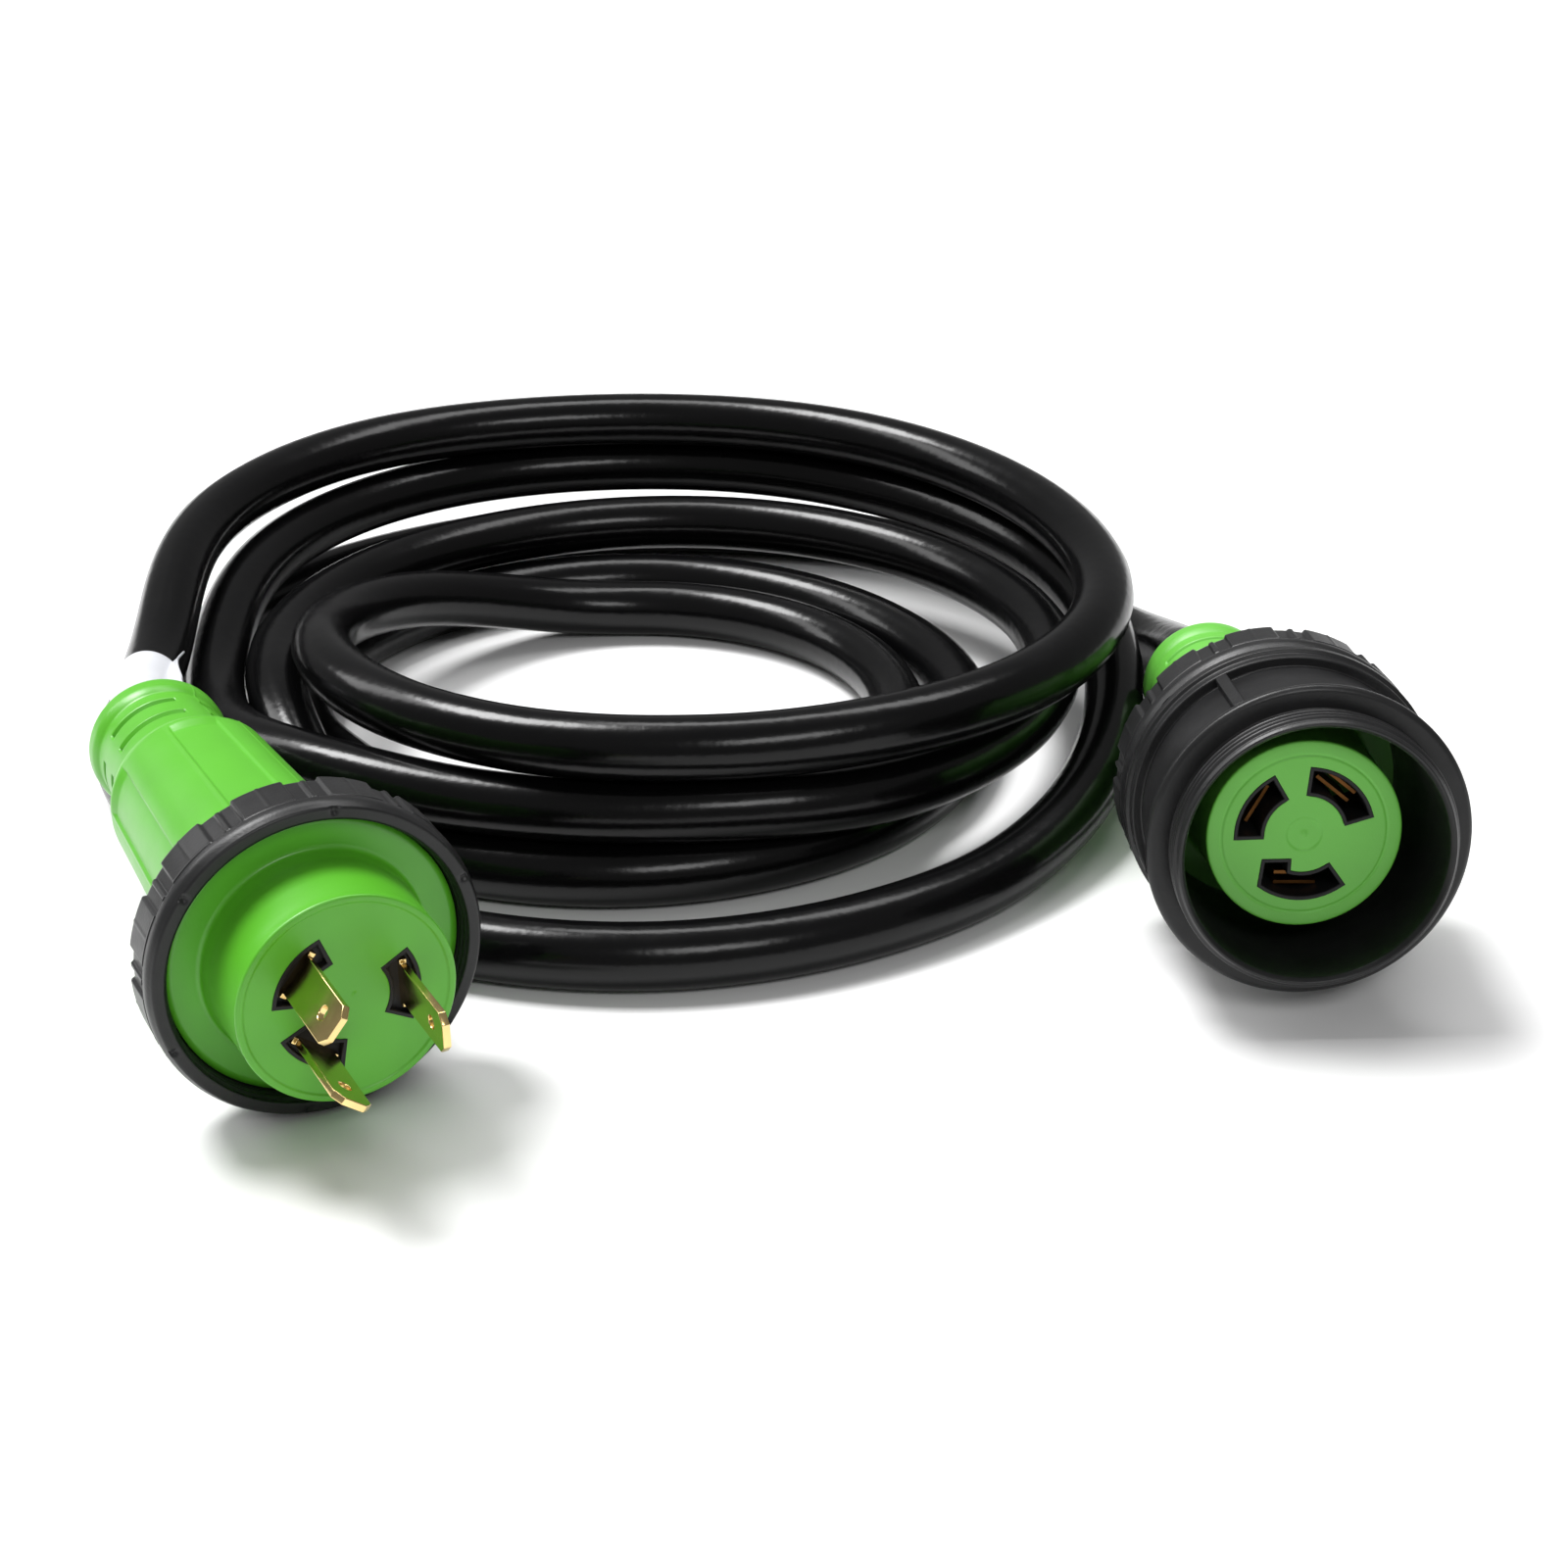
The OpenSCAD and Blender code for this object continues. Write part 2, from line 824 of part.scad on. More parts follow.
// Direction of a route at point i
function heading(route, i) =
  unit(route[min(i + 1, len(route) - 1)] - route[max(i - 1, 0)]);

// One cross-section of a tube, square to its route and kept upright
function tube_ring(centre, along, d, sides) =
  let (across = unit(cross(along, [0, 0, 1])), up = cross(across, along))
    [for (k = [0:sides - 1])
      let (a = (k + 0.5) * 360 / sides)
        centre + d / 2 * (cos(a) * across + sin(a) * up)];

// A closed tube of diameter d, swept along the points of a route
module tube(route, d, sides) {
  count = len(route);
  points = [for (i = [0:count - 1]) each tube_ring(route[i], heading(route, i), d, sides)];
  walls = [
    for (i = [0:count - 2], k = [0:sides - 1])
      let (next = (k + 1) % sides)
        [i * sides + k, i * sides + next, (i + 1) * sides + next, (i + 1) * sides + k]
  ];
  first_end = [for (k = [sides - 1:-1:0]) k];
  last_end = [for (k = [0:sides - 1]) (count - 1) * sides + k];
  polyhedron(points, concat([first_end], walls, [last_end]));
}

module cord_plug_tail() {
  inside = on_plug(-plug_rear + strip_len - fit);
  bend = [for (i = [0:bend_steps]) on_bend(label_end * i / bend_steps)];
  color("black") tube(concat([inside], bend, plug_route), cable_d, tube_sides);
}

module cord_connector_tail() {
  inside = on_connector(-connector_rear + strip_len - fit);
  entry = on_connector(-connector_rear - 2);
  color("black") tube(concat([inside, entry], connector_route), cable_d, tube_sides);
}

// The plain outer shape of the turns that lie in the coil
module cord_coil() {
  color("black")
    translate([coil_at[0], coil_at[1], 0])
      rotate_extrude()
        polygon([
          [coil_inner_r, 3],
          [coil_inner_r + 3, 0],
          [coil_outer_r - 3, 0],
          [coil_outer_r, 3],
          [coil_outer_r, coil_h - 5],
          [coil_outer_r - 5, coil_h],
          [coil_inner_r + 8, coil_h],
          [coil_inner_r, coil_h / 2]
        ]);
}

plug_body();
plug_boss();
plug_bridge();
plug_blade_line();
plug_blade_neutral();
plug_blade_ground();
plug_crimps();
plug_core_line();
plug_core_neutral();
plug_core_ground();
plug_ring();
connector_body();
connector_carrier();
connector_contact_line();
connector_contact_neutral();
connector_contact_ground();
connector_crimps();
connector_core_line();
connector_core_neutral();
connector_core_ground();
connector_ring();
coupling_sleeve();
cable_label();
cord_plug_tail();
cord_coil();
cord_connector_tail();
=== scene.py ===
import json
import math

import bmesh
import bpy
import numpy as np
from mathutils import Matrix, Vector


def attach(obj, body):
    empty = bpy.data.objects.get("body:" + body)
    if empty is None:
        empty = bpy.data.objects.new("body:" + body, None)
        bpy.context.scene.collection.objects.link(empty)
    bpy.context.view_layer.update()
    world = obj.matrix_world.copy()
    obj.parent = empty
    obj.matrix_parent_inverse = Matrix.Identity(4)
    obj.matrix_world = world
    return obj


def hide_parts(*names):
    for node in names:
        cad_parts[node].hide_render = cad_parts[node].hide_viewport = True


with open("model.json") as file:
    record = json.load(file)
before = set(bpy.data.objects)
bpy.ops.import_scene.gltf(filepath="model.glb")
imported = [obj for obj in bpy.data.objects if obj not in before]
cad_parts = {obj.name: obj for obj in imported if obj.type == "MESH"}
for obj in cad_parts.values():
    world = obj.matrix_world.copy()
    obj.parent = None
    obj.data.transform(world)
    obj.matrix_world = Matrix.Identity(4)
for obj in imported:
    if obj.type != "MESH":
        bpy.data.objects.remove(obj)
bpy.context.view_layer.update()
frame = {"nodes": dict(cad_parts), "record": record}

MM = 0.001
TAU = 2 * math.pi


# ---------------------------------------------------------------- where the two ends lie
def joint(name):
    return next(j for j in frame["record"]["behaviour"]["joints"] if j["name"] == name)


class End:
    """The plug's or the connector's own axes: x right, y up, z out of the face, in mm.
    Z is 0 at the ring's front plane; the ring's hinge lies 8 mm behind it."""

    def __init__(self, ring_joint):
        j = joint(ring_joint)
        self.n = np.array(j["axis"], float)
        self.n /= np.linalg.norm(self.n)
        self.o = np.array(j["pos_m"]) / MM + 8 * self.n
        yaw = math.atan2(self.n[0], -self.n[1])
        tilt = math.asin(self.n[2])
        self.right = np.array((math.cos(yaw), math.sin(yaw), 0))
        self.matrix = (Matrix.Translation(self.o * MM) @ Matrix.Rotation(yaw, 4, "Z")
                       @ Matrix.Rotation(math.pi / 2 - tilt, 4, "X") @ Matrix.Scale(MM, 4))

    def at(self, z):
        return self.o + z * self.n


plug = End("plug_ring_turn")
conn = End("connector_ring_turn")

# ---------------------------------------------------------------- camera
cam_data = bpy.data.cameras.new("camera")
cam = bpy.data.objects.new("camera", cam_data)
bpy.context.collection.objects.link(cam)
cam.location = (0.0125, -0.5385, 0.327)
cam.rotation_euler = (math.radians(90 - 27.3), 0, 0)
cam_data.lens = 58.5
cam_data.sensor_width = 36
cam_data.clip_start = 0.01
bpy.context.scene.camera = cam


# ---------------------------------------------------------------- materials
def material(name, color, rough, vary=0.08, scale=60, rough_vary=0.06, bump=0.0, bump_scale=900,
             bump_depth=0.0002, dark=None, **sockets):
    """A principled material: the colour drifts a little, the roughness too, and fine noise
    gives the moulded texture. A socket with one value all over is set on the shader."""
    m = bpy.data.materials.new(name)
    m.use_nodes = True
    t = m.node_tree
    n, link = t.nodes, t.links.new
    p = n["Principled BSDF"]
    coord = n.new("ShaderNodeTexCoord")
    noise = n.new("ShaderNodeTexNoise")
    noise.inputs["Scale"].default_value = scale
    noise.inputs["Detail"].default_value = 5
    link(coord.outputs["Object"], noise.inputs["Vector"])
    ramp = n.new("ShaderNodeValToRGB")
    low = dark or [c * (1 - vary) for c in color]
    high = [min(1, c * (1 + vary)) for c in color]
    ramp.color_ramp.elements[0].position = 0.3
    ramp.color_ramp.elements[1].position = 0.7
    ramp.color_ramp.elements[0].color = (*low, 1)
    ramp.color_ramp.elements[1].color = (*high, 1)
    link(noise.outputs["Fac"], ramp.inputs["Fac"])
    link(ramp.outputs["Color"], p.inputs["Base Color"])
    blot = n.new("ShaderNodeTexNoise")
    blot.inputs["Scale"].default_value = scale * 3.1
    blot.inputs["Detail"].default_value = 4
    link(coord.outputs["Object"], blot.inputs["Vector"])
    spread = n.new("ShaderNodeMapRange")
    spread.inputs["To Min"].default_value = max(0.02, rough - rough_vary)
    spread.inputs["To Max"].default_value = rough + rough_vary
    link(blot.outputs["Fac"], spread.inputs["Value"])
    link(spread.outputs["Result"], p.inputs["Roughness"])
    if bump:
        grain = n.new("ShaderNodeTexNoise")
        grain.inputs["Scale"].default_value = bump_scale
        grain.inputs["Detail"].default_value = 3
        link(coord.outputs["Object"], grain.inputs["Vector"])
        b = n.new("ShaderNodeBump")
        b.inputs["Strength"].default_value = bump
        b.inputs["Distance"].default_value = bump_depth
        link(grain.outputs["Fac"], b.inputs["Height"])
        link(b.outputs["Normal"], p.inputs["Normal"])
    for socket, value in sockets.items():
        p.inputs[socket.replace("_", " ")].default_value = value
    return m


GREEN = material("green_pvc", (0.085, 0.38, 0.018), 0.36, vary=0.05, scale=45, bump=0.16,
                 bump_scale=1500, bump_depth=0.0001)
# A lighter copy of the green PVC for the connector's body: painted light on its shaded face. Its finer
# grain is texture.
GREEN_PAINTED_LIT = material("green_pvc_painted_lit", (0.12, 0.44, 0.05), 0.42, vary=0.05, scale=45, bump=0.3,
                      bump_scale=2600, bump_depth=0.0001)
NYLON = material("black_nylon", (0.0125, 0.0125, 0.013), 0.36, vary=0.25, scale=90, bump=0.3,
                 bump_scale=1400, bump_depth=0.00012, Specular_IOR_Level=0.32)
INSERT = material("black_insert", (0.006, 0.006, 0.0065), 0.5, vary=0.2, scale=120, bump=0.3,
                  bump_scale=2200, bump_depth=0.0001, Specular_IOR_Level=0.3)
JACKET = material("cable_jacket", (0.0020, 0.0020, 0.0022), 0.20, vary=0.2, scale=30, rough_vary=0.05,
                  bump=0.22, bump_scale=260, bump_depth=0.0004, Specular_IOR_Level=0.24)
BRASS = material("brass", (0.80, 0.60, 0.26), 0.20, vary=0.08, scale=150, rough_vary=0.08, bump=0.12,
                 bump_scale=700, bump_depth=0.0001, Metallic=1.0)
TINNED = material("tinned_copper", (0.70, 0.66, 0.60), 0.30, vary=0.06, scale=200, bump=0.15,
                  bump_scale=900, Metallic=1.0)
LABEL = material("white_label", (0.60, 0.61, 0.64), 0.32, vary=0.03, scale=80, bump=0.12,
                 bump_scale=300, bump_depth=0.0003)
# The contacts' brass, darkened far below its own colour: painted shade for their place deep in the
# socket slots.
CONTACT_PAINTED_SHADE = material("brass_painted_shade", (0.16, 0.07, 0.02), 0.45, vary=0.15, scale=150, bump=0.12,
                   bump_scale=700, bump_depth=0.0001, Metallic=1.0)
CORE = {
    "line": material("core_black", (0.02, 0.02, 0.02), 0.4, vary=0.2, bump=0.1),
    "neutral": material("core_white", (0.75, 0.75, 0.72), 0.4, vary=0.04, bump=0.1),
    "ground": material("core_green", (0.04, 0.26, 0.07), 0.4, vary=0.1, bump=0.1),
}


# ---------------------------------------------------------------- mesh helpers
def piece(name, verts, faces, end, mat, body, smooth=True, sharp=None):
    """A mesh drawn in an end's own axes, put in its place, riding on a body."""
    mesh = bpy.data.meshes.new(name)
    mesh.from_pydata([tuple(v) for v in verts], [], faces)
    bm = bmesh.new()
    bm.from_mesh(mesh)
    bmesh.ops.remove_doubles(bm, verts=bm.verts, dist=1e-4)
    bmesh.ops.recalc_face_normals(bm, faces=bm.faces)
    bm.to_mesh(mesh)
    bm.free()
    if end is not None:
        mesh.transform(end.matrix)
    mesh.validate()
    for poly in mesh.polygons:
        poly.use_smooth = smooth
    if sharp is not None:
        mesh.set_sharp_from_angle(angle=math.radians(sharp))
    obj = bpy.data.objects.new(name, mesh)
    bpy.context.collection.objects.link(obj)
    obj.data.materials.append(mat)
    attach(obj, body)
    return obj


def rounded(profile, radius=0.4, step=None, support=0.15):
    """A polyline of (r, z) or (r, z, radius) corners, each rounded, with support rows beside
    the rounding, and cut to steps no longer than step."""
    pts = [np.array(p[:2], float) for p in profile]
    rad = [p[2] if len(p) > 2 else radius for p in profile]
    rows = [pts[0]]
    for i in range(1, len(pts) - 1):
        a, b, c = pts[i - 1], pts[i], pts[i + 1]
        la, lc = np.linalg.norm(a - b), np.linalg.norm(c - b)
        ta, tc = (a - b) / la, (c - b) / lc
        cut = min(rad[i], la * 0.45, lc * 0.45)
        if abs(np.dot(ta, tc) + 1) < 1e-4 or cut < 1e-3:
            rows.append(b)
            continue
        side = min(support, la * 0.5 - cut, lc * 0.5 - cut)
        if side > 0.02:
            rows.append(b + ta * (cut + side))
        for t in (0, 0.25, 0.5, 0.75, 1):
            rows.append(b + ta * cut * (1 - t) ** 2 + tc * cut * t ** 2)
        if side > 0.02:
            rows.append(b + tc * (cut + side))
    rows.append(pts[-1])
    out = [rows[0]]
    for a, b in zip(rows, rows[1:]):
        length = np.linalg.norm(b - a)
        if length < 1e-6:
            continue
        cuts = 1 if step is None else max(1, math.ceil(length / step))
        out += [a + (b - a) * k / cuts for k in range(1, cuts + 1)]
    return np.array(out)


def lathe(name, rows, cols, end, mat, body, shape=None, closed=False):
    """Turns rows of (r, z) about the end's axis. shape(theta, r, z) may move the grid."""
    theta = np.arange(cols) * TAU / cols
    r = np.repeat(rows[:, :1], cols, axis=1)
    z = np.repeat(rows[:, 1:], cols, axis=1)
    th = np.repeat(theta[None], len(rows), axis=0)
    if shape:
        r, z = shape(th, r, z)
    verts = np.stack([r * np.cos(th), r * np.sin(th), z], axis=2).reshape(-1, 3)
    m = len(rows)
    faces = []
    last = m if closed else m - 1
    for i in range(last):
        a, b = i * cols, ((i + 1) % m) * cols
        for j in range(cols):
            k = (j + 1) % cols
            faces.append((a + j, a + k, b + k, b + j))
    return piece(name, verts, faces, end, mat, body)


def ramp(x, a, b):
    """0 below a, 1 above b, smooth between."""
    t = np.clip((x - a) / (b - a), 0, 1)
    return t * t * (3 - 2 * t)


def band(x, a, b, soft):
    """1 between a and b, 0 outside, with soft edges."""
    return ramp(x, a - soft / 2, a + soft / 2) * (1 - ramp(x, b - soft / 2, b + soft / 2))


def wrap(angle):
    """Degrees brought to -180..180."""
    return (angle + 180) % 360 - 180


# ---------------------------------------------------------------- outlines of the pockets
def arc_outline(centre, spread, r0, r1, count=14):
    a = np.radians(np.linspace(centre - spread, centre + spread, count))
    outer = np.stack([r1 * np.cos(a), r1 * np.sin(a)], 1)
    inner = np.stack([r0 * np.cos(a[::-1]), r0 * np.sin(a[::-1])], 1)
    return np.concatenate([outer, inner])


def hook_outline(centre, spread, r0, r1, left, right, top, count=14):
    """The ground slot: an arc with a square hook reaching in from its left end."""
    low = math.degrees(math.atan2(-math.sqrt(r1 ** 2 - (left - 0.6) ** 2), left - 0.6)) % 360
    a = np.radians(np.linspace(low, centre + spread, count))
    outer = np.stack([r1 * np.cos(a), r1 * np.sin(a)], 1)
    meet = math.degrees(math.atan2(-math.sqrt(r0 ** 2 - right ** 2), right)) % 360
    b = np.radians(np.linspace(centre + spread, meet, count))
    inner = np.stack([r0 * np.cos(b), r0 * np.sin(b)], 1)
    return np.concatenate([outer, inner, [[right, top], [left, top]]])


def offset(poly, d):
    """Moves each corner of an anticlockwise outline out by d, mitred."""
    prev = poly - np.roll(poly, 1, axis=0)
    nxt = np.roll(poly, -1, axis=0) - poly
    n1 = np.stack([prev[:, 1], -prev[:, 0]], 1) / np.linalg.norm(prev, axis=1)[:, None]
    n2 = np.stack([nxt[:, 1], -nxt[:, 0]], 1) / np.linalg.norm(nxt, axis=1)[:, None]
    mid = n1 + n2
    mid /= np.linalg.norm(mid, axis=1)[:, None]
    return poly + mid * d / np.maximum((mid * n1).sum(1), 0.5)[:, None]


def outside(poly, x, y):
    """Signed distance from an outline, positive outside."""
    best = np.full(x.shape, 1e9)
    inside = np.zeros(x.shape, bool)
    for (ax, ay), (bx, by) in zip(poly, np.roll(poly, -1, axis=0)):
        ex, ey = bx - ax, by - ay
        t = np.clip(((x - ax) * ex + (y - ay) * ey) / (ex * ex + ey * ey), 0, 1)
        best = np.minimum(best, np.hypot(x - ax - t * ex, y - ay - t * ey))
        if ey:
            cross = (ay > y) != (by > y)
            inside ^= cross & (x < ex * (y - ay) / ey + ax)
    return np.where(inside, -best, best)


def tray(verts, faces, poly, lip, top, floor):
    """A dark lip round a pocket, its walls and its floor, added to verts and faces."""
    soft = 0.18
    loops = [(lip, top - 3), (lip, top - soft), (lip - soft, top), (soft, top), (0, top - soft),
             (0, floor)]
    base = len(verts)
    n = len(poly)
    for d, z in loops:
        ring = offset(poly, d) if d else poly
        verts += [(x, y, z) for x, y in ring]
    for k in range(len(loops) - 1):
        for i in range(n):
            j = (i + 1) % n
            a, b = base + k * n, base + (k + 1) * n
            faces.append((a + i, a + j, b + j, b + i))
    faces.append(tuple(base + (len(loops) - 1) * n + i for i in range(n)))


# ---------------------------------------------------------------- the cable's route
D = 17.0
PLUG_ROUTE = [
    (-159.5, 102, 35), (-161, 116, 38.5), (-162.5, 133, 42.5), (-163, 160, 46),
    (-157.5, 190, 48), (-145, 215, 49), (-124, 238, 50), (-98, 253.5, 50), (-68, 262.5, 50),
    (-31, 266, 50), (5, 261, 50), (38.5, 247, 50), (66.5, 224, 49.5), (87.5, 195, 49),
    (100, 161.5, 48), (103, 126.5, 47.5), (94.5, 95, 47), (76, 67.5, 46.5), (50, 48, 46),
    (21, 37.5, 45), (-6, 34, 44), (-31, 35.5, 43.5), (-54, 40.5, 43), (-75, 50.5, 43),
    (-93, 64.5, 42.5), (-106.5, 83, 41.5), (-115, 104, 40), (-117, 126.5, 36)]
CONNECTOR_ROUTE = [
    (129, 121.5, 24.5), (127, 141.5, 21), (120, 169.5, 14), (105, 199.5, 9), (81, 229.5, 8.5),
    (47, 253.5, 8.5), (6, 265, 8.5), (-31, 268.5, 8.5), (-68, 263.5, 8.5), (-102, 249.5, 8.5),
    (-132, 227.5, 8.5), (-155, 198, 8.5), (-169, 163.5, 8.5), (-174, 126.5, 8.5),
    (-169.5, 89.5, 8.5), (-151, 58, 8.5), (-124, 31, 8.5), (-95, 8, 8.5), (-65, -5.5, 8.5),
    (-31, -12, 8.5), (5, -8, 8.5), (38.5, 6, 9), (67.5, 28, 11.5), (88, 54, 15),
    (100.5, 84, 20), (106.5, 122, 25), (104, 160, 28), (91, 197, 30.5), (68.5, 226, 32),
    (40, 249, 32.5), (6, 264, 33), (-31, 269, 33), (-68, 264.5, 33), (-101.5, 250, 33),
    (-126, 227.5, 33), (-142, 200, 32.5), (-149.5, 170, 31.5), (-150.5, 145, 29)]
# The turns inside the coil: (degrees about the coil's middle, radius, height), clockwise
COIL = (-31, 126.5)
COIL_TURNS = [
    (150, 80, 28), (120, 75, 16), (90, 73, 9), (45, 74, 8.5), (0, 76, 8.5), (-45, 78, 8.5),
    (-90, 81, 8.5), (-135, 87, 8.5), (-180, 96, 8.5), (-225, 98, 8.8), (-270, 96, 9),
    (-315, 94, 9), (-360, 96, 9), (-405, 98, 8.6), (-450, 98, 8.5), (-495, 100, 16),
    (-540, 102, 25.5), (-585, 105, 26), (-630, 108, 26), (-675, 115, 26.5), (-720, 120, 27),
    (-765, 109, 26.5), (-810, 94, 26), (-855, 104, 25), (-900, 118, 26)]


def resample(q, step):
    t = np.concatenate([[0], np.cumsum(np.linalg.norm(np.diff(q, axis=0), axis=1))])
    s = np.linspace(0, t[-1], int(round(t[-1] / step)) + 1)
    return np.stack([np.interp(s, t, q[:, i]) for i in range(3)], 1)


def spline(points, step):
    """A natural cubic spline through the points, cut into equal steps."""
    p = np.array(points, float)
    t = np.concatenate([[0], np.cumsum(np.linalg.norm(np.diff(p, axis=0), axis=1))])
    n, h = len(p), np.diff(t)
    a, b = np.zeros((n, n)), np.zeros((n, 3))
    a[0, 0] = a[-1, -1] = 1
    for i in range(1, n - 1):
        a[i, i - 1:i + 2] = h[i - 1], 2 * (h[i - 1] + h[i]), h[i]
        b[i] = 6 * ((p[i + 1] - p[i]) / h[i] - (p[i] - p[i - 1]) / h[i - 1])
    m = np.linalg.solve(a, b)
    s = np.linspace(0, t[-1], int(t[-1]))
    k = np.clip(np.searchsorted(t, s, side="right") - 1, 0, n - 2)
    u, v, w = (t[k + 1] - s)[:, None], (s - t[k])[:, None], h[k][:, None]
    q = (m[k] * u ** 3 + m[k + 1] * v ** 3) / (6 * w)
    q += (p[k] / w - m[k] * w / 6) * u + (p[k + 1] / w - m[k + 1] * w / 6) * v
    return resample(q, step)


def settle(q, rounds=140, keep=0.03):
    """Lays the route down: strands push each other a diameter apart, rest on the floor and
    on each other, keep clear of both ends, keep their length and stay stiff."""
    n = len(q)
    p, p0 = q.copy(), q.copy()
    seg = np.linalg.norm(np.diff(q, axis=0), axis=1).mean()
    idx = np.arange(n)
    far = np.abs(idx[:, None] - idx[None]) * seg > 45
    free = (idx >= 6) & (idx < n - 4)
    solids = [(plug, idx * seg > 60, ((-132, -96, 17.8), (-96, -16, 25), (-16, 0, 38.2))),
              (conn, (n - 1 - idx) * seg > 60,
               ((-93, -58, 17.8), (-58, -16, 25), (-16, 44, 38.2)))]
    for it in range(rounds):
        p[free] += keep * (1 - 0.7 * it / rounds) * (p0 - p)[free]
        p[free, 2] -= 0.04
        bend = np.zeros_like(p)
        bend[2:-2] = p[4:] - 4 * p[3:-1] + 6 * p[2:-2] - 4 * p[1:-3] + p[:-4]
        p[free] -= 0.06 * bend[free]
        for _ in range(3):
            v = np.diff(p, axis=0)
            long = np.linalg.norm(v, axis=1)
            c = v / long[:, None] * (long - seg)[:, None] * 0.25
            move = np.zeros_like(p)
            move[:-1] += c
            move[1:] -= c
            p[free] += move[free]
        for _ in range(2):
            diff = p[:, None] - p[None]
            dist = np.sqrt((diff ** 2).sum(2)) + 1e-9
            push = np.where(far & (dist < D + 0.05), (D + 0.05 - dist) / 2, 0)
            move = (diff / dist[:, :, None] * push[:, :, None]).sum(1)
            count = np.maximum((push > 0).sum(1), 1)
            p[free] += (move / np.sqrt(count)[:, None])[free]
            p[free, 2] = np.maximum(p[free, 2], D / 2)
            for end, there, parts in solids:
                rel = p - end.o
                z = rel @ end.n
                perp = rel - z[:, None] * end.n
                r = np.linalg.norm(perp, axis=1)
                for z0, z1, solid_r in parts:
                    hit = (z > z0) & (z < z1) & (r < solid_r + D / 2) & free & there
                    p[hit] += perp[hit] / r[hit, None] * (solid_r + D / 2 - r[hit])[:, None]
    return p


def on_coil(turn):
    a = math.radians(turn[0])
    return (COIL[0] + turn[1] * math.cos(a), COIL[1] + turn[1] * math.sin(a), turn[2])


# Where the cable enters each end, in the end's axes
PLUG_ENTRY, CONN_ENTRY = -131, -92
# Cable that runs on inside the two ends
LABEL_GAP, LABEL_LEN = 1, 40
BEND_R = 90


def on_bend(s):
    """The cable's middle s mm out of the plug, in the plug's axes: it bends to the plug's right."""
    return BEND_R * (1 - math.cos(s / BEND_R)), PLUG_ENTRY - BEND_R * math.sin(s / BEND_R)


route = [tuple(plug.at(PLUG_ENTRY + 11))]
for s in np.linspace(0, LABEL_GAP + LABEL_LEN, 6):
    across, along = on_bend(s)
    route.append(tuple(plug.at(along) + across * plug.right))
route += PLUG_ROUTE + [on_coil(t) for t in COIL_TURNS] + CONNECTOR_ROUTE[::-1]
route += [tuple(conn.at(z)) for z in (-104, CONN_ENTRY, CONN_ENTRY + 8)]
laid = settle(spline(route, 10.0))
centre = spline(laid, 5.0) * MM

curve = bpy.data.curves.new("cable", "CURVE")
curve.dimensions = "3D"
curve.bevel_depth = D / 2 * MM
curve.bevel_resolution = 6
curve.use_fill_caps = True
line = curve.splines.new("POLY")
line.points.add(len(centre) - 1)
for point, co in zip(line.points, centre):
    point.co = (*co, 1)
line.use_smooth = True
cable = bpy.data.objects.new("cable", curve)
bpy.context.collection.objects.link(cable)
curve.materials.append(JACKET)
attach(cable, "cordset")
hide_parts("cord_plug_tail", "cord_coil", "cord_connector_tail")

# ---------------------------------------------------------------- stage
floor_mesh = bpy.data.meshes.new("floor")
floor_mesh.from_pydata([(-4, -4, 0), (4, -4, 0), (4, 6, 0), (-4, 6, 0)], [], [(0, 1, 2, 3)])
floor = bpy.data.objects.new("floor", floor_mesh)
bpy.context.collection.objects.link(floor)
floor.data.materials.append(material("floor", (0.86, 0.86, 0.86), 0.6, vary=0.004, scale=3))

world = bpy.data.worlds.new("world")
bpy.context.scene.world = world
world.use_nodes = True
world.node_tree.nodes["Background"].inputs["Color"].default_value = (1, 1, 1, 1)
world.node_tree.nodes["Background"].inputs["Strength"].default_value = 0.24
bpy.context.scene.view_settings.view_transform = "Standard"


def lamp(name, kind, location, target, energy, size=None, size_y=None):
    data = bpy.data.lights.new(name, kind)
    data.energy = energy
    if kind == "SUN":
        data.angle = size
    elif size_y:
        data.shape, data.size, data.size_y = "RECTANGLE", size, size_y
    else:
        data.size = size
    obj = bpy.data.objects.new(name, data)
    obj.location = location
    obj.rotation_euler = (Vector(target) - Vector(location)).to_track_quat("-Z", "Y").to_euler()
    bpy.context.collection.objects.link(obj)


MIDDLE = (0, 0.08, 0.02)
lamp("key_sun", "SUN", (-0.42, 0.36, 1.0), MIDDLE, 3.3, math.radians(22))
lamp("softbox_left", "AREA", (-0.75, 0.35, 0.75), MIDDLE, 4.5, 0.3, 0.8)
lamp("softbox_top", "AREA", (0.15, 0.45, 1.0), MIDDLE, 4.5, 0.8, 0.25)
lamp("softbox_front", "AREA", (0.3, -0.9, 0.9), MIDDLE, 4, 0.5, 0.3)

# ---------------------------------------------------------------- shared sizes of both ends
RING_LEN = 16
GRIP_FLATS = 10
NECK_LEN = 34
SLOT_FLOOR_R = 12.5
# Flex slots: rows, place of the first, distance between rows, half width and half spread
SLOT_ROWS, SLOT_FIRST, SLOT_PITCH, SLOT_HALF, SLOT_SPREAD = 3, 13, 9, 0.9, 33
SEAM_FRONT = -RING_LEN - 0.5


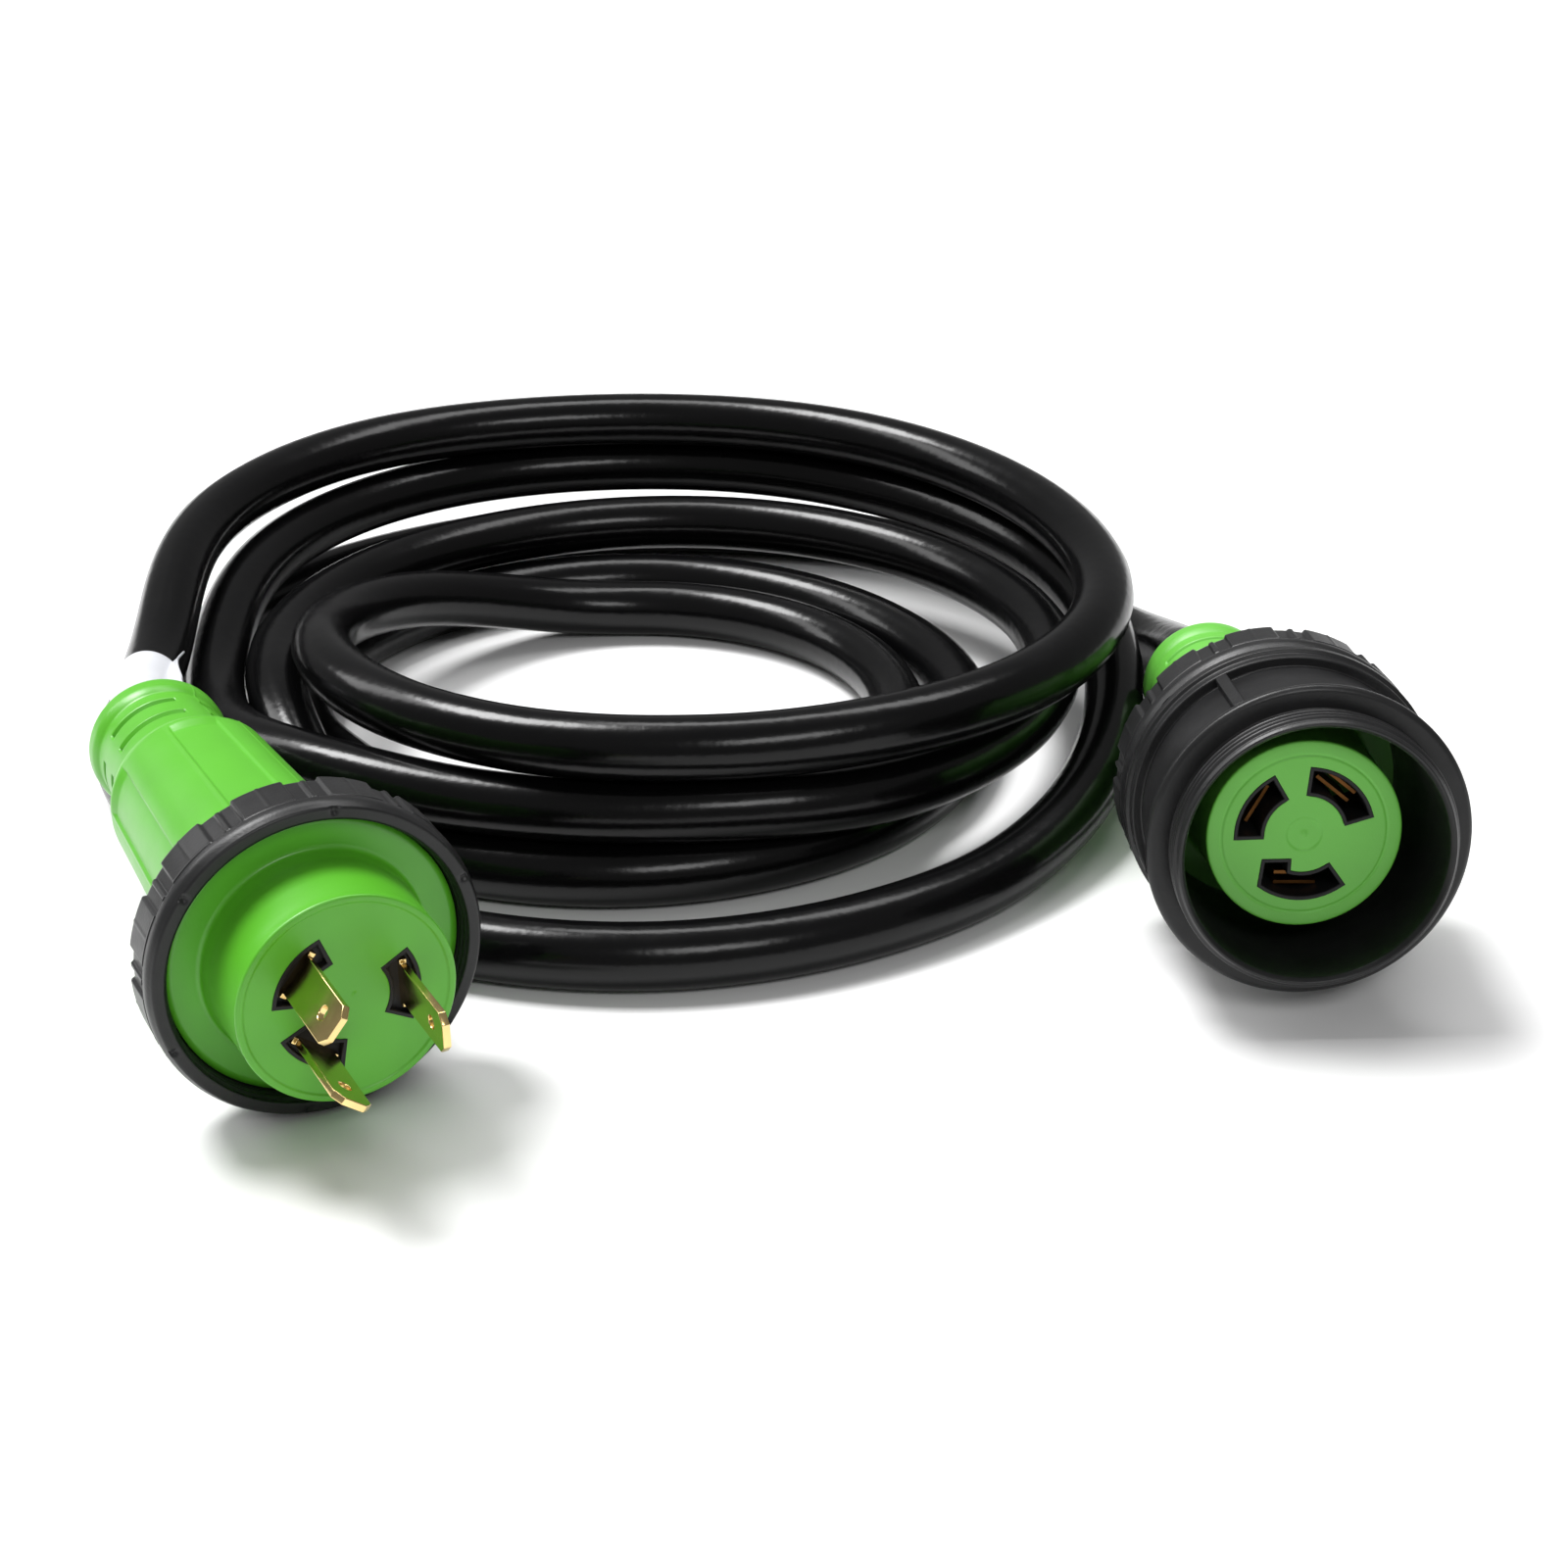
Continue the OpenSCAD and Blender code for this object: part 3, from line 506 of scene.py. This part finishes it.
def body_rows(rear, flange_z, reach, boss_r, bead):
    """The profile of a moulded body, from inside its cable entry to the middle of its face."""
    g = -rear + NECK_LEN
    back = [(8.4, -rear + 6, 0), (8.4, -rear, 0.3), (17.3, -rear, 0.9), (17.7, -rear + 1.2, 0.8),
            (17.7, -rear + 4.8, 0.8), (17.1, -rear + 6.4, 0.8), (16.5, -rear + 7.4, 0.8),
            (17.4, g - 6, 2), (18.9, g - 1.5, 1.2), (20.6, g + 0.2, 0.8), (21.5, g + 3, 1.2)]
    grip = [(25, -RING_LEN - 1.5, 0.5), (26.2, -RING_LEN - 0.3, 0.3), (26.9, -RING_LEN - 0.3, 0.2),
            (26.9, flange_z, 0.3), (33, flange_z, 0.4), (33, flange_z + 4.5, 0.5)]
    boss = [(boss_r + 1.0, flange_z + 4.5, 1.0), (boss_r + 0.2, flange_z + 8, 1)]
    if bead:
        boss += [(boss_r - 0.1, reach - 2.4, 0.5), (boss_r, reach, 0.7),
                 (boss_r - 1.5, reach, 0.4), (boss_r - 1.9, reach - 0.35, 0.3)]
    else:
        boss += [(boss_r, reach - 0.1, 0.8), (boss_r - 1.2, reach, 0.4)]
    rows = np.concatenate([rounded(back, step=0.5), rounded([back[-1]] + grip, step=1.6),
                           rounded([grip[-1]] + boss, step=2)])
    edge_r, edge_z = rows[-1]
    count = int(edge_r / 0.25)
    face = np.stack([np.linspace(edge_r, 0, count), np.full(count, edge_z)], 1)
    return np.concatenate([rows, face[1:]])


def body_shape(rear, pockets, depth, face_z, extra):
    """Grip panels, flex slots, parting line, and the pockets sunk into the face."""
    g = -rear + NECK_LEN
    front = -RING_LEN - 3

    def shape(th, r, z):
        deg = np.degrees(th)
        outer = r > 12
        step = 360 / GRIP_FLATS
        within = deg % (2 * step)
        panel = band(within, 0, step * 0.9, 1.6)
        panel = np.maximum(panel, band(within - 2 * step, 0, step * 0.9, 1.6))
        panel *= band(z, g + 5, front - 1.5, 1.4)
        sink = 0.9 * panel
        flat = np.abs((within % step) - step / 2) / (step / 2)
        ridge = (flat ** 2 - 0.4) * 0.5 * (1 - panel) * band(z, g + 3, front + 0.5, 2)
        for row in range(SLOT_ROWS):
            zc = -rear + SLOT_FIRST + SLOT_PITCH * row
            for side in range(4):
                off = wrap(deg - (side * 90 - 11 + SLOT_SPREAD))
                slot = band(z, zc - SLOT_HALF, zc + SLOT_HALF, 0.4)
                slot = slot * band(off, -SLOT_SPREAD, SLOT_SPREAD, 2.0)
                sink = sink + (r - SLOT_FLOOR_R) * slot * (z < g) * (r > SLOT_FLOOR_R)
        seam = np.maximum(np.exp(-(wrap(deg - 55) / 0.7) ** 2), np.exp(-(wrap(deg - 235) / 0.7) ** 2))
        seam = seam * 0.14 * (z < SEAM_FRONT) * (z > -rear + 0.5) * (r > 15)
        r = np.where(outer, r - sink - ridge + seam, r)
        x, y = r * np.cos(th), r * np.sin(th)
        on_face = z > face_z - 0.2
        for poly in pockets:
            z = z - np.where(on_face, depth * (1 - ramp(outside(poly, x, y), 0.45, 0.85)), 0)
        z = extra(x, y, r, z, on_face)
        return r, z

    return shape


# ---------------------------------------------------------------- poles
POLE_R, SLOT_W = 13, 5.2
R0, R1 = POLE_R - SLOT_W / 2, POLE_R + SLOT_W / 2
PLUG_POLES = {"line": (140, 30), "ground": (0, 29), "neutral": (232, 27)}
SOCKET_POLES = {"line": (51, 34), "neutral": (151, 30), "ground": (269, 37)}
plug_pockets = [arc_outline(a, s, R0, R1) for a, s in PLUG_POLES.values()]
socket_pockets = [arc_outline(*SOCKET_POLES["line"], R0, R1),
                  arc_outline(*SOCKET_POLES["neutral"], R0, R1),
                  hook_outline(*SOCKET_POLES["ground"], R0, R1, -8.8, -3.6, -7)]


def plug_face(x, y, r, z, on_face):
    dot = np.exp(-(np.hypot(x - 1.5, y - 1.0) / 0.45) ** 2) * 0.25
    return z + np.where(on_face, dot, 0)


def connector_face(x, y, r, z, on_face):
    groove = -0.3 * np.exp(-((r - 19.5) / 0.22) ** 2)
    disc = -0.25 * (1 - ramp(r, 3.9, 4.3)) + 0.35 * np.exp(-(r / 0.7) ** 2)
    return z + np.where(on_face, groove + disc, 0)


plug_body = lathe("plug_body_visual", body_rows(-PLUG_ENTRY, -9, 17.5, 24.5, True), 540, plug,
                  GREEN, "cordset", body_shape(-PLUG_ENTRY, plug_pockets, 4.5, 17.15, plug_face))
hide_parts("plug_body", "plug_boss")
# The connector's body takes the lighter copy of the green: painted light.
conn_body = lathe("connector_body_visual", body_rows(-CONN_ENTRY, -12.5, 29, 23, False), 540, conn,
                  GREEN_PAINTED_LIT, "cordset", body_shape(-CONN_ENTRY, socket_pockets, 17, 29, connector_face))
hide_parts("connector_body")

for name, end, pockets, top, floor_z, node in (
        ("plug_bridge_visual", plug, plug_pockets, 17.3, 15.3, "plug_bridge"),
        ("connector_carrier_visual", conn, socket_pockets, 29.15, 8.5, "connector_carrier")):
    verts, faces = [], []
    for poly in pockets:
        tray(verts, faces, poly, 1.0, top, floor_z)
    obj = piece(name, verts, faces, end, INSERT, "cordset", sharp=40)
    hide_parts(node)


# ---------------------------------------------------------------- blades
def blade(name, angle, node):
    back, tip, root, half, clip = -7, 41.5, 16.7, 4.75, 2.0
    wide = half + 1.15
    outline = [(-wide, back), (wide, back), (wide, root), (half, root), (half, tip - clip),
               (half - clip, tip), (clip - half, tip), (-half, tip - clip), (-half, root),
               (-wide, root)]
    hole = [(1.6 * math.cos(a), tip - 7 + 1.6 * math.sin(a))
            for a in np.linspace(0, TAU, 24, endpoint=False)]
    bm = bmesh.new()
    loops = []
    for loop in (outline, hole):
        vs = [bm.verts.new((0, u, w)) for u, w in loop]
        loops += [bm.edges.new((vs[i], vs[(i + 1) % len(vs)])) for i in range(len(vs))]
    bmesh.ops.triangle_fill(bm, edges=loops, use_beauty=True)
    got = bmesh.ops.extrude_face_region(bm, geom=bm.faces[:])
    bmesh.ops.translate(bm, vec=(1.7, 0, 0), verts=[v for v in got["geom"]
                                                      if isinstance(v, bmesh.types.BMVert)])
    bmesh.ops.translate(bm, vec=(POLE_R - 0.85, 0, 0), verts=bm.verts)
    bmesh.ops.recalc_face_normals(bm, faces=bm.faces)
    mesh = bpy.data.meshes.new(name)
    bm.to_mesh(mesh)
    bm.free()
    mesh.transform(end_turn(plug, angle))
    obj = bpy.data.objects.new(name, mesh)
    bpy.context.collection.objects.link(obj)
    mesh.materials.append(BRASS)
    bevel = obj.modifiers.new("edge", "BEVEL")
    bevel.width = 0.22 * MM
    bevel.segments = 3
    bevel.limit_method = "ANGLE"
    bevel.angle_limit = math.radians(35)
    for poly in mesh.polygons:
        poly.use_smooth = True
    mesh.set_sharp_from_angle(angle=math.radians(50))
    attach(obj, "cordset")
    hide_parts(node)


def end_turn(end, angle):
    return end.matrix @ Matrix.Rotation(math.radians(angle), 4, "Z")


for pole, (angle, _) in PLUG_POLES.items():
    blade("plug_blade_" + pole + "_visual", angle, "plug_blade_" + pole)


# ---------------------------------------------------------------- locking rings
PADS = 12
RING_R, PAD_H = 38, 0.9
PITCH, THREAD = 2.0, 0.8
NOTCHES = 6


def ring_rows():
    low = RING_R - PAD_H
    outer = [(27.3, -16, 0.3), (low - 0.9, -16, 0.7), (low, -14.8, 0.6), (low, -5, 0.3),
             (RING_R, -4.4, 0.4), (RING_R, -2.2, 0.9), (RING_R - 1.1, 0, 0.5), (34.2, 0, 0.4)]
    inner = [(34.2, -0.8, 0.1), (34.1, -12.8, 0.3), (27.3, -12.8, 0.3), (27.3, -16, 0.3)]
    return np.concatenate([rounded(outer, step=0.6), rounded([outer[-1]] + inner, step=0.3)[1:-1]])


def ring_shape(th, r, z):
    deg = np.degrees(th)
    step = 360 / PADS
    w = deg % step
    span = step * 0.62
    pad = band(w, 0.6, span, 0.8) * band(z, -15.4, -4.4, 0.9)
    rib_at = step * (1 + 0.62) / 2
    rib = band(w, rib_at - 1, rib_at + 1, 0.6) * band(z, -14, -4.4, 0.8)
    side = (r > 36) & (z < -0.5)
    lift = np.maximum(pad, 0.9 * rib) * PAD_H * (r < RING_R - 0.2)
    fine = 0.18 * np.exp(-((w - span / 2) / 0.5) ** 2) * band(z, -15, -4.8, 1)
    r = r + np.where(side, np.minimum(lift + fine * (pad > 0.5), RING_R - r + 0.1), 0)
    phase = (z / PITCH - th / TAU) % 1
    tooth = band(phase, 0.25, 0.75, 0.35) * band(z, -11, -1, 1)
    inside = (r > 33.9) & (r < 34.3) & (z < -0.7) & (z > -12.4)
    r = np.where(inside, r - THREAD * tooth, r)
    notch = np.zeros_like(z)
    for k in range(NOTCHES):
        notch = np.maximum(notch, np.exp(-(wrap(deg - k * 360 / NOTCHES - 20) / 1.2) ** 2))
    z = np.where((z > -0.3) & (r > 34.6), z - 0.7 * notch * band(r, 35.4, 37.4, 0.6), z)
    return r, z


for name, end, node, body in (("plug_ring_visual", plug, "plug_ring", "plug_ring"),
                              ("connector_ring_visual", conn, "connector_ring", "connector_ring")):
    obj = lathe(name, ring_rows(), 900, end, NYLON, body, ring_shape, closed=True)
    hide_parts(node)

# ---------------------------------------------------------------- coupling sleeve
BORE_R, ROOT_R, FLANGE_R, BELT_R = 30.5, 32.4, 38, 34.5
SLEEVE_RIBS, RIB_ANGLE = 4, 118


def sleeve_rows():
    back = [(BORE_R, -7.7, 0.3), (ROOT_R, -7.7, 0.3), (ROOT_R, 2, 0.2)]
    mid = [(FLANGE_R, 2, 0.6), (FLANGE_R, 4.6, 0.3), (FLANGE_R - 1, 5.2, 0.3),
           (FLANGE_R - 1, 8, 0.5), (BELT_R, 8, 0.5), (BELT_R, 30.5, 0.5), (FLANGE_R - 1, 30.5, 0.5),
           (FLANGE_R - 1, 32.1, 0.3), (FLANGE_R, 32.7, 0.4), (FLANGE_R, 34.2, 0.9),
           (FLANGE_R - 1, 35, 0.5), (ROOT_R, 35, 0.3)]
    nose = [(ROOT_R, 42.5, 0.3), (ROOT_R - 0.5, 43.4, 0.3), (BORE_R + 0.9, 43.4, 0.3),
            (BORE_R, 42.4, 0.4), (BORE_R, -7.7, 0.3)]
    return np.concatenate([rounded(back, step=0.3), rounded([back[-1]] + mid, step=0.7)[1:],
                           rounded([mid[-1]] + nose[:2], step=0.28)[1:],
                           rounded(nose[1:], step=3)[1:-1]])


def sleeve_shape(th, r, z):
    deg = np.degrees(th)
    phase = (z / PITCH - th / TAU) % 1
    tooth = band(phase, 0.1, 0.6, 0.35) * THREAD
    on_back = band(z, -6.7, 0.8, 0.8)
    on_nose = band(z, 36, 42.3, 0.8)
    threaded = (np.abs(r - ROOT_R) < 0.1)
    r = np.where(threaded, r + tooth * (on_back + on_nose), r)
    rib = np.zeros_like(r)
    for k in range(SLEEVE_RIBS):
        rib = np.maximum(rib, band(wrap(deg - RIB_ANGLE - 360 / SLEEVE_RIBS * k), -2.5, 2.5, 0.7))
    belt = (r > BELT_R - 0.7) & (r < 37.1) & (z > 8.3) & (z < 30.2)
    r = np.where(belt, r + rib * np.maximum(FLANGE_R - 1 - r, 0), r)
    return r, z


sleeve = lathe("coupling_sleeve_visual", sleeve_rows(), 900, conn, NYLON, "coupling_sleeve",
               sleeve_shape, closed=True)
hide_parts("coupling_sleeve")


# ---------------------------------------------------------------- label
def label():
    """A thin sheet wrapped once round the cable, its two ends stuck back to back in a flag."""
    r, flag = D / 2 + 0.3, 6.0
    base = math.radians(38)
    section = []
    for t in np.linspace(0, 1, 9)[:-1]:
        section.append(((1 - t) * flag, 0.14, 0))
    for a in np.linspace(0.02, TAU - 0.02, 60):
        section.append((r, a, 1))
    for t in np.linspace(0, 1, 9)[1:]:
        section.append((t * flag, -0.14, 0))
    cols = 45
    verts, faces = [], []
    for k in range(cols):
        u = k / (cols - 1)
        s = LABEL_GAP + u * LABEL_LEN
        across, along = on_bend(s)
        turn = s / BEND_R
        sway = 0.9 * math.sin(u * 7.5 + 0.6) + 0.5 * math.sin(u * 17)
        for a, b, kind in section:
            if kind:
                rr = a + 0.10 * math.sin(3 * b + 5 * u) + 0.06 * math.sin(23 * u + 2 * b)
                x, y = rr * math.cos(base + b), rr * math.sin(base + b)
            else:
                out = a * (0.8 + 0.2 * math.sin(u * 5 + 1)) + r * math.cos(0.02)
                lift = b + sway * (a / flag) ** 2
                x = out * math.cos(base) - lift * math.sin(base)
                y = out * math.sin(base) + lift * math.cos(base)
            verts.append((across + x * math.cos(turn), y, along + x * math.sin(turn)))
    m = len(section)
    for k in range(cols - 1):
        for i in range(m - 1):
            faces.append((k * m + i, k * m + i + 1, (k + 1) * m + i + 1, (k + 1) * m + i))
    obj = piece("cable_label_visual", verts, faces, plug, LABEL, "cordset")
    thick = obj.modifiers.new("thick", "SOLIDIFY")
    thick.thickness = 0.22 * MM
    thick.offset = 0
    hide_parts("cable_label")


label()

# ---------------------------------------------------------------- CAD pieces that stay
for node, obj in frame["nodes"].items():
    if "contact" in node:
        # The contacts take the darkened brass: painted shade.
        mat = CONTACT_PAINTED_SHADE
    elif "crimps" in node:
        mat = TINNED
    elif "_core_" in node:
        mat = CORE[node.rsplit("_", 1)[1]]
    else:
        continue
    obj.data.materials.clear()
    obj.data.materials.append(mat)
